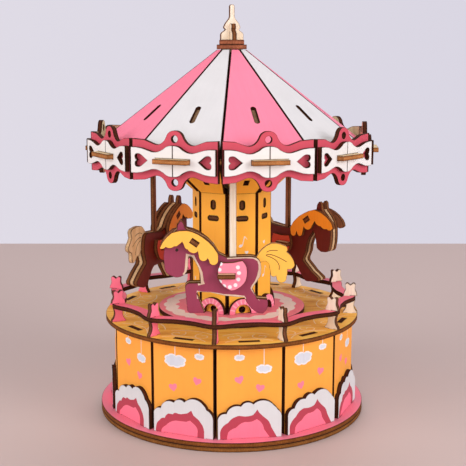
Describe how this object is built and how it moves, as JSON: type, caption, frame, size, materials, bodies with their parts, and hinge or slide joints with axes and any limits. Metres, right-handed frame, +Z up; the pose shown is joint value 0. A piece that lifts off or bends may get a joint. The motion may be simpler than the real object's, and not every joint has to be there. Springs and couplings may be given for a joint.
{
  "type": "wooden 3d jigsaw model",
  "caption": "Laser-cut plywood merry-go-round model: fenced round drum, and a turning carousel with column, horses on poles, scalloped canopy and striped roof.",
  "frame": {"origin": "centre of the underside of the lower base plate, on the surface the model stands on", "axes": "+Z up along the spin axis; -Y is the front, the middle of one wall panel; +X to the right seen from the front"},
  "size_m": [0.1964, 0.1972, 0.275],
  "materials": {
    "natural_ply": "bare birch plywood, satin, with laser-browned edges",
    "pink_paint": "printed pink on plywood, satin, laser-browned edges",
    "crimson_paint": "printed crimson on plywood, satin, laser-browned edges",
    "white_paint": "printed off-white on plywood, satin, laser-browned edges",
    "orange_paint": "printed orange on plywood, satin, laser-browned edges",
    "deck_stain": "printed orange-brown on plywood with pale swirls, satin",
    "plum_paint": "printed plum on plywood, satin, laser-browned edges",
    "maroon_paint": "printed dark maroon on plywood, satin",
    "yellow_paint": "printed yellow-orange on plywood, satin",
    "amber_paint": "printed deep orange on plywood, satin",
    "brick_paint": "printed brick red on plywood, satin"
  },
  "bodies": {
    "stand": {"base_plate_lower": "pink_paint", "base_plate_upper": "pink_paint", "wall_panel_01": "orange_paint", "wall_panel_02": "orange_paint", "wall_panel_03": "orange_paint", "wall_panel_04": "orange_paint", "wall_panel_05": "orange_paint", "wall_panel_06": "orange_paint", "wall_panel_07": "orange_paint", "wall_panel_08": "orange_paint", "wall_panel_09": "orange_paint", "wall_panel_10": "orange_paint", "wall_panel_11": "orange_paint", "wall_panel_12": "orange_paint", "deck_plate": "deck_stain", "railing": "pink_paint", "axle_dowel": "natural_ply"},
    "carousel": {"turntable_disc": "pink_paint", "hub_collar": "natural_ply", "column": "orange_paint", "capital": "orange_paint", "ceiling_plate": "natural_ply", "fascia_panel_01": "crimson_paint", "fascia_panel_02": "crimson_paint", "fascia_panel_03": "crimson_paint", "fascia_panel_04": "crimson_paint", "fascia_panel_05": "crimson_paint", "fascia_panel_06": "crimson_paint", "fascia_panel_07": "crimson_paint", "fascia_panel_08": "crimson_paint", "fascia_panel_09": "crimson_paint", "fascia_panel_10": "crimson_paint", "roof_panel_01": "pink_paint", "roof_panel_02": "white_paint", "roof_panel_03": "pink_paint", "roof_panel_04": "white_paint", "roof_panel_05": "pink_paint", "roof_panel_06": "white_paint", "roof_panel_07": "pink_paint", "roof_panel_08": "white_paint", "roof_panel_09": "pink_paint", "roof_panel_10": "white_paint", "roof_frame": "natural_ply", "finial_base": "natural_ply", "finial_cross": "natural_ply", "horse_front_outer_side": "plum_paint", "horse_front_inner_side": "plum_paint", "horse_front_core": "natural_ply", "horse_front_manes": "yellow_paint", "horse_front_saddles": "pink_paint", "horse_left_outer_side": "maroon_paint", "horse_left_inner_side": "maroon_paint", "horse_left_core": "natural_ply", "horse_left_manes": "amber_paint", "horse_left_saddles": "brick_paint", "horse_right_outer_side": "maroon_paint", "horse_right_inner_side": "maroon_paint", "horse_right_core": "natural_ply", "horse_right_manes": "amber_paint", "horse_right_saddles": "brick_paint"}
  },
  "joints": [
    {"name": "carousel_spin", "type": "hinge", "parent": "stand", "child": "carousel", "pos_m": [0, 0, 0.0681], "axis": [0, 0, 1], "continuous": true}
  ]
}
